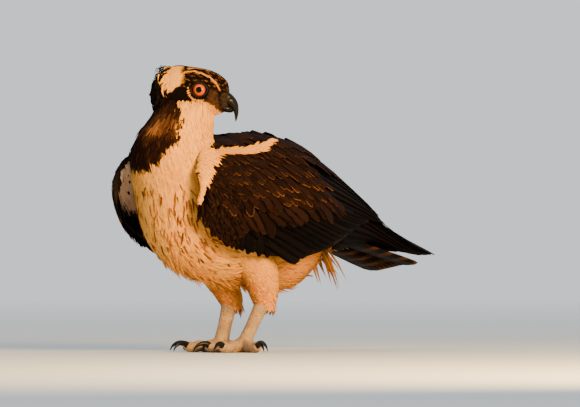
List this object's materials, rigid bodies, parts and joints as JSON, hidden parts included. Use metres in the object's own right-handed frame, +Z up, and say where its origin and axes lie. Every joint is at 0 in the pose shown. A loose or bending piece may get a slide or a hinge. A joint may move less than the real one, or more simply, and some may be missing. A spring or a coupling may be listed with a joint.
{
  "type": "osprey model",
  "caption": "Life-size still model of a standing young osprey with folded wings, its head turned back over the left shoulder.",
  "frame": {"origin": "on the floor at the middle of the object's box, just behind the feet", "axes": "+Z up, -Y the way the body faces, +X the bird's left; millimetre source, metre row"},
  "size_m": [0.1874, 0.492, 0.3283],
  "materials": {
    "pale_feathers": "soft warm white feathers",
    "hackles": "soft feathers, white in front and dark brown behind",
    "dark_feathers": "satin dark brown vanes with buff edges",
    "horn": "glossy black horn",
    "eye": "clear glossy orange iris and black pupil",
    "scaly_skin": "matt grey scaly skin"
  },
  "bodies": {
    "root": {"head": "pale_feathers", "bill_upper": "horn", "bill_lower": "horn", "eye_left": "eye", "eye_right": "eye", "torso": "pale_feathers", "neck": "hackles", "wing_left": "dark_feathers", "wing_right": "dark_feathers", "tail": "dark_feathers", "thigh_left": "pale_feathers", "tarsus_left": "scaly_skin", "foot_left": "scaly_skin", "claw_left_inner": "horn", "claw_left_middle": "horn", "claw_left_outer": "horn", "claw_left_hind": "horn", "thigh_right": "pale_feathers", "tarsus_right": "scaly_skin", "foot_right": "scaly_skin", "claw_right_inner": "horn", "claw_right_middle": "horn", "claw_right_outer": "horn", "claw_right_hind": "horn"}
  },
  "joints": []
}
